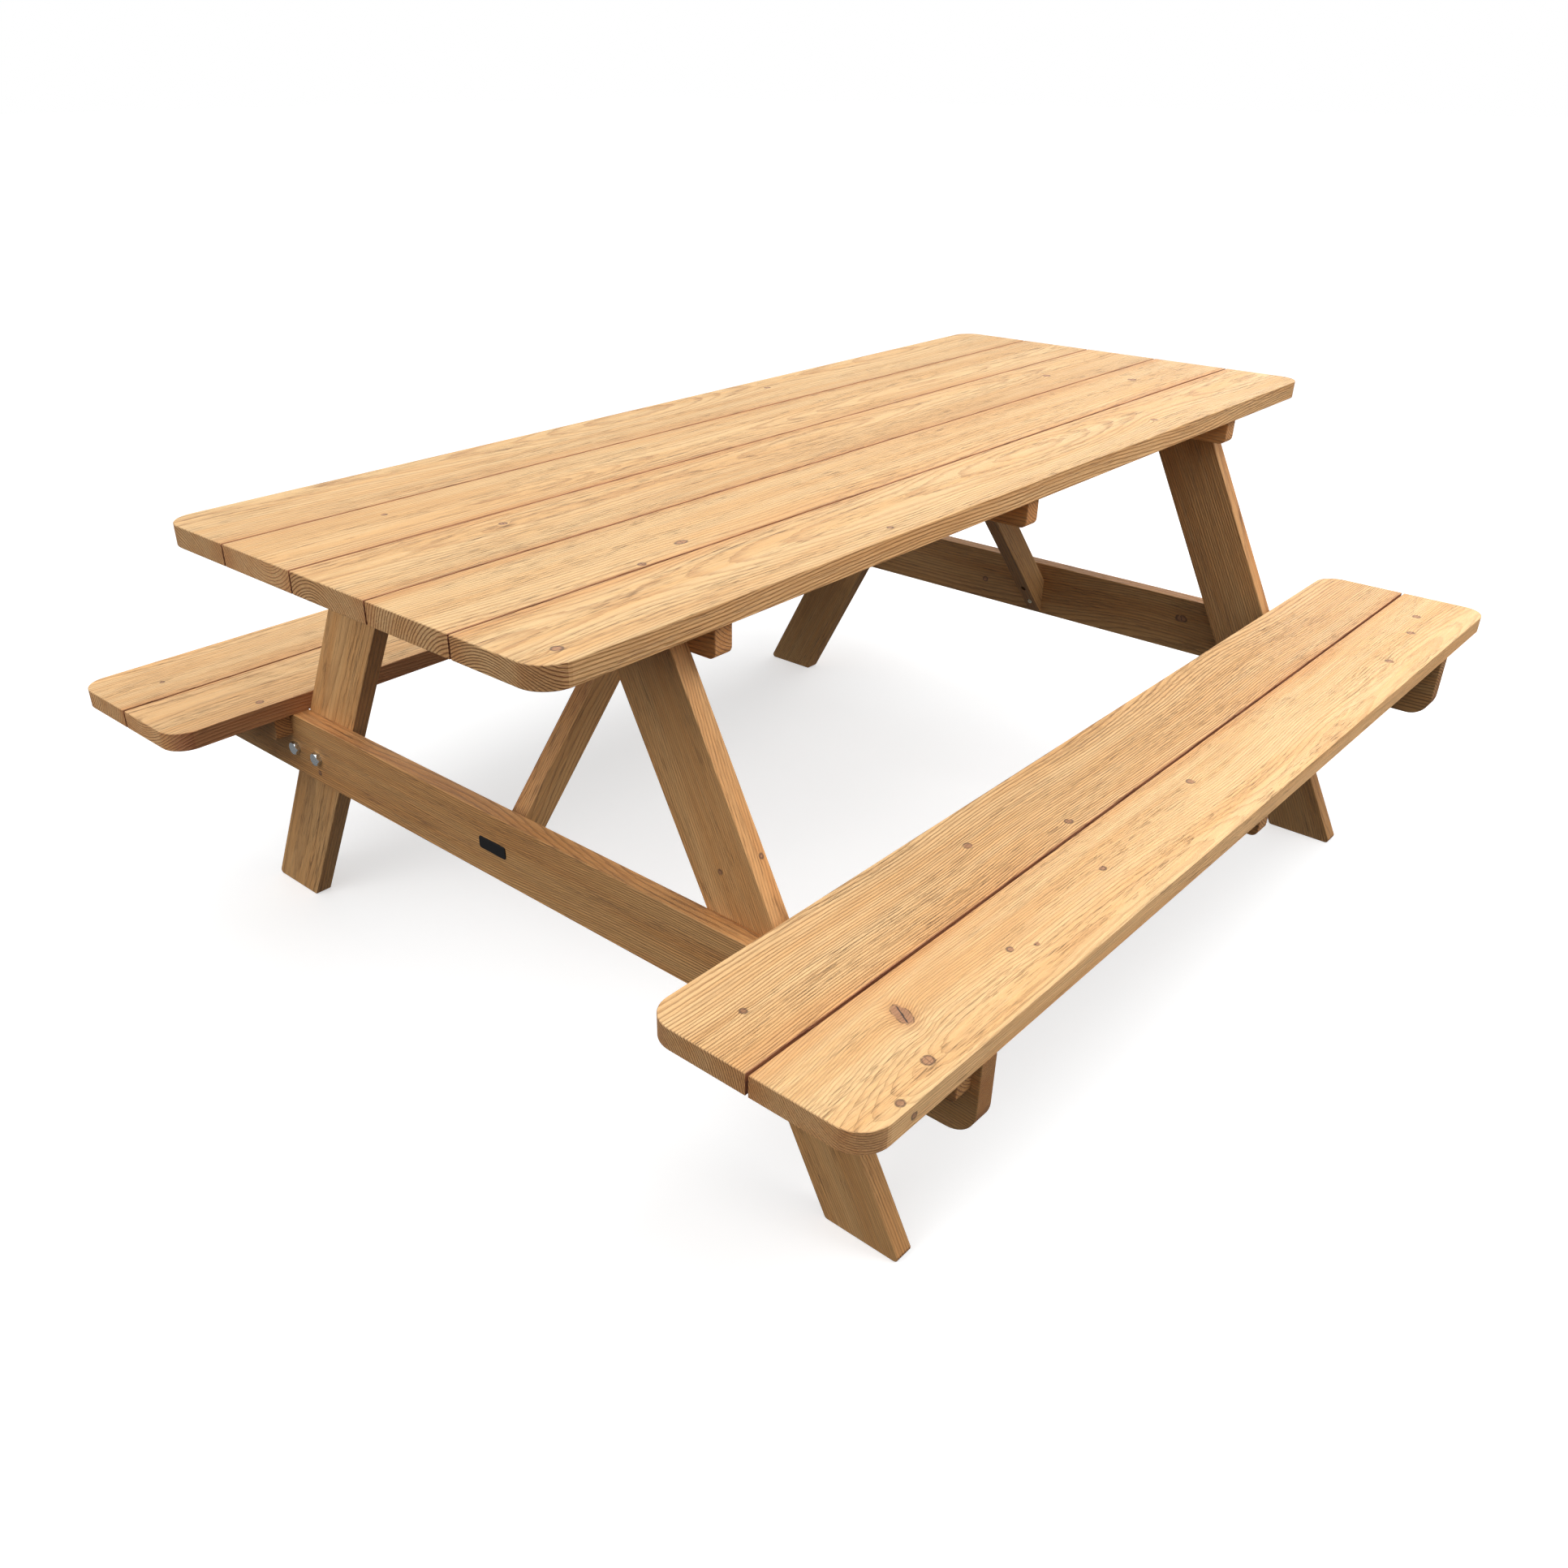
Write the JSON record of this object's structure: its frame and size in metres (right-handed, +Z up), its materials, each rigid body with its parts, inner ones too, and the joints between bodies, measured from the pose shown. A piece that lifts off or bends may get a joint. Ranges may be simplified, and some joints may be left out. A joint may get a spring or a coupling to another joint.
{
  "type": "picnic table",
  "caption": "Timber picnic table with a planked top, two fixed benches, splayed A-frame legs, full-width seat beams and diagonal braces, bolted and screwed together.",
  "frame": {"origin": "on the ground under the middle of the table", "axes": "+X along the table, +Y across it towards the left bench, +Z up"},
  "size_m": [1.8, 1.52, 0.74],
  "materials": {
    "planks": "brushed honey-coloured softwood with a clear matt oil",
    "frame_timber": "planed softwood, oiled, matt",
    "zinc_bolts": "bright zinc plated",
    "screw_steel": "zinc plated, slightly dull",
    "label_plastic": "black, satin, blank"
  },
  "bodies": {
    "root": {"far_beam_bolts": "zinc_bolts", "far_beam_nuts": "zinc_bolts", "far_beam_screws": "screw_steel", "far_beam_washers": "zinc_bolts", "far_brace": "frame_timber", "far_brace_screws": "screw_steel", "far_left_leg": "frame_timber", "far_right_leg": "frame_timber", "far_seat_beam": "frame_timber", "far_top_bolts": "zinc_bolts", "far_top_cleat": "frame_timber", "far_top_nuts": "zinc_bolts", "far_top_screws": "screw_steel", "far_top_washers": "zinc_bolts", "label_plate": "label_plastic", "left_seat_cleat_far": "frame_timber", "left_seat_cleat_middle": "frame_timber", "left_seat_cleat_near": "frame_timber", "left_seat_plank_inner": "planks", "left_seat_plank_outer": "planks", "left_seat_screws": "screw_steel", "middle_top_cleat": "frame_timber", "middle_top_screws": "screw_steel", "near_beam_bolts": "zinc_bolts", "near_beam_nuts": "zinc_bolts", "near_beam_screws": "screw_steel", "near_beam_washers": "zinc_bolts", "near_brace": "frame_timber", "near_brace_screws": "screw_steel", "near_left_leg": "frame_timber", "near_right_leg": "frame_timber", "near_seat_beam": "frame_timber", "near_top_bolts": "zinc_bolts", "near_top_cleat": "frame_timber", "near_top_nuts": "zinc_bolts", "near_top_screws": "screw_steel", "near_top_washers": "zinc_bolts", "right_seat_cleat_far": "frame_timber", "right_seat_cleat_middle": "frame_timber", "right_seat_cleat_near": "frame_timber", "right_seat_plank_inner": "planks", "right_seat_plank_outer": "planks", "right_seat_screws": "screw_steel", "table_plank_1": "planks", "table_plank_2": "planks", "table_plank_3": "planks", "table_plank_4": "planks", "table_plank_5": "planks"}
  },
  "joints": []
}
